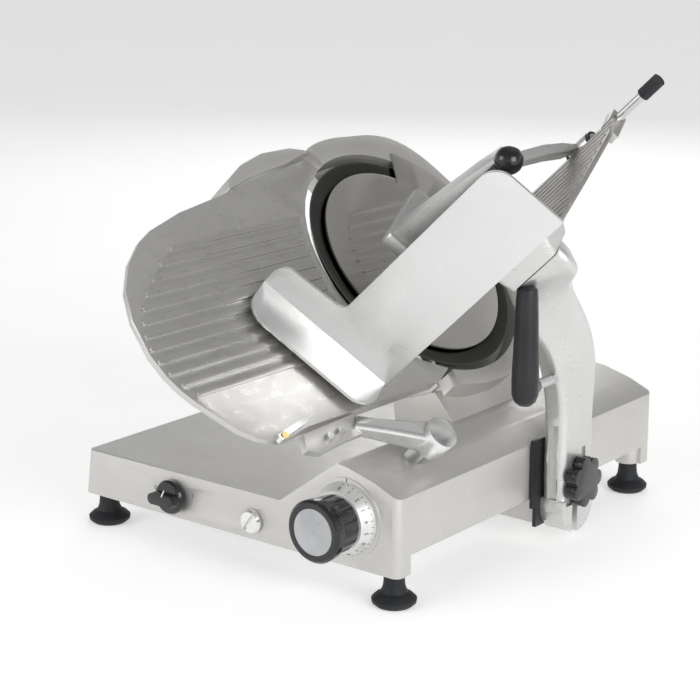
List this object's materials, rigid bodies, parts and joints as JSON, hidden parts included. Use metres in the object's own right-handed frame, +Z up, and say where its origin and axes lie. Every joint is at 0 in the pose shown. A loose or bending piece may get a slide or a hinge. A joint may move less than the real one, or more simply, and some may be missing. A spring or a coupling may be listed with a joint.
{
  "type": "meat slicer",
  "caption": "Gravity-feed deli slicer: tilted round blade, ribbed gauge plate, sliding food carriage with pusher, and a cast base on feet.",
  "frame": {"origin": "under the middle of the machine's outline, on the surface the feet stand on", "axes": "+Z up, -Y towards the front face with the controls, +X towards the carriage side"},
  "size_m": [0.6148, 0.7344, 0.5575],
  "materials": {
    "cast_alloy": "satin",
    "sheet_alloy": "satin",
    "blade_steel": "polished",
    "steel": "satin",
    "black_plastic": "gloss",
    "satin_plastic": "satin",
    "foot_rubber": "matte",
    "belt_rubber": "matte",
    "pale_plastic": "satin",
    "bronze": "satin",
    "dark_paint": "satin"
  },
  "bodies": {
    "base": {"base_casting": "cast_alloy", "bottom_plate": "steel", "feet": "foot_rubber", "foot_studs": "steel", "cable_gland": "satin_plastic", "switch_bodies": "satin_plastic", "head_casting": "cast_alloy", "blade_bearings": "steel", "belt_cover": "steel", "belt_cover_screws": "steel", "blade_cover": "cast_alloy", "slice_deflector": "steel", "motor_body": "dark_paint", "motor_bracket": "steel", "drive_belt": "belt_rubber", "guide_bars": "steel", "bar_end_blocks": "cast_alloy"},
    "rotor": {"blade": "blade_steel", "blade_shaft": "steel", "blade_bolts": "steel", "blade_pulley": "steel"},
    "motor_rotor": {"motor_pulley": "steel", "motor_rotor": "steel"},
    "cover_release": {"cover_knob": "black_plastic"},
    "gauge_control": {"gauge_knob": "black_plastic", "gauge_dial": "pale_plastic", "gauge_knob_insert": "pale_plastic", "gauge_spindle": "steel", "gauge_cam": "cast_alloy"},
    "gauge": {"gauge_plate": "sheet_alloy", "gauge_arm": "cast_alloy", "gauge_shaft": "steel", "gauge_bracket": "cast_alloy", "gauge_bracket_screws": "steel", "gauge_wedge": "cast_alloy", "gauge_wedge_screw": "bronze", "cam_follower": "steel"},
    "switch": {"switch_knob": "black_plastic"},
    "button": {"twist_button": "cast_alloy"},
    "carriage": {"carriage_slider": "cast_alloy", "slider_bushes": "bronze", "carriage_tongue": "satin_plastic", "clamp_stud": "steel", "carriage_arm": "cast_alloy", "handle": "satin_plastic", "handle_stud": "steel", "tray_table": "sheet_alloy", "tray_wall": "sheet_alloy", "tray_nut": "steel", "pusher_rod": "steel", "rod_cap": "satin_plastic"},
    "clamp": {"clamp_knob": "black_plastic"},
    "pusher_carrier": {"pusher_sleeve": "steel", "sleeve_rings": "satin_plastic"},
    "pusher": {"press_arm": "cast_alloy", "pusher_plate": "cast_alloy", "press_lever": "steel", "lever_ball": "black_plastic"}
  },
  "joints": [
    {"name": "blade_spin", "type": "hinge", "parent": "base", "child": "rotor", "pos_m": [-0.01887, 0.09485, 0.3138], "axis": [0.7314, 0, 0.682], "continuous": true},
    {"name": "motor_spin", "type": "hinge", "parent": "base", "child": "motor_rotor", "pos_m": [0.13663, 0.09485, 0.14705], "axis": [0.7314, 0, 0.682], "continuous": true},
    {"name": "cover_knob_turn", "type": "hinge", "parent": "base", "child": "cover_release", "pos_m": [-0.05251, 0.26085, 0.28243], "axis": [0.7314, 0, 0.682], "range_deg": [-720, 0]},
    {"name": "gauge_knob_turn", "type": "hinge", "parent": "base", "child": "gauge_control", "pos_m": [0.10163, -0.18085, 0.094], "axis": [0, 1, 0], "range_deg": [0, 300]},
    {"name": "gauge_slide", "type": "slide", "parent": "base", "child": "gauge", "axis": [-0.7314, 0, -0.682], "range_m": [0, 0.0151]},
    {"name": "switch_turn", "type": "hinge", "parent": "base", "child": "switch", "pos_m": [-0.15537, -0.18085, 0.064], "axis": [0, 1, 0], "range_deg": [0, 90]},
    {"name": "button_turn", "type": "hinge", "parent": "base", "child": "button", "pos_m": [-0.03437, -0.18085, 0.06], "axis": [0, 1, 0], "range_deg": [0, 90]},
    {"name": "carriage_slide", "type": "slide", "parent": "base", "child": "carriage", "axis": [0, 1, 0], "range_m": [-0.14, 0.17]},
    {"name": "clamp_turn", "type": "hinge", "parent": "carriage", "child": "clamp", "pos_m": [0.20863, 0.11415, 0.082], "axis": [1, 0, 0], "range_deg": [0, 720]},
    {"name": "pusher_slide", "type": "slide", "parent": "carriage", "child": "pusher_carrier", "axis": [0.7314, 0, 0.682], "range_m": [-0.08, 0.025]},
    {"name": "pusher_swing", "type": "hinge", "parent": "pusher_carrier", "child": "pusher", "pos_m": [0.21049, 0.10279, 0.46816], "axis": [-0.7314, 0, -0.682], "range_deg": [0, 100]}
  ],
  "couplings": [
    {"joint": "motor_spin", "follows": "blade_spin", "ratio": 2.5},
    {"joint": "gauge_slide", "follows": "gauge_knob_turn", "m_per_rad": 0.0028648}
  ]
}
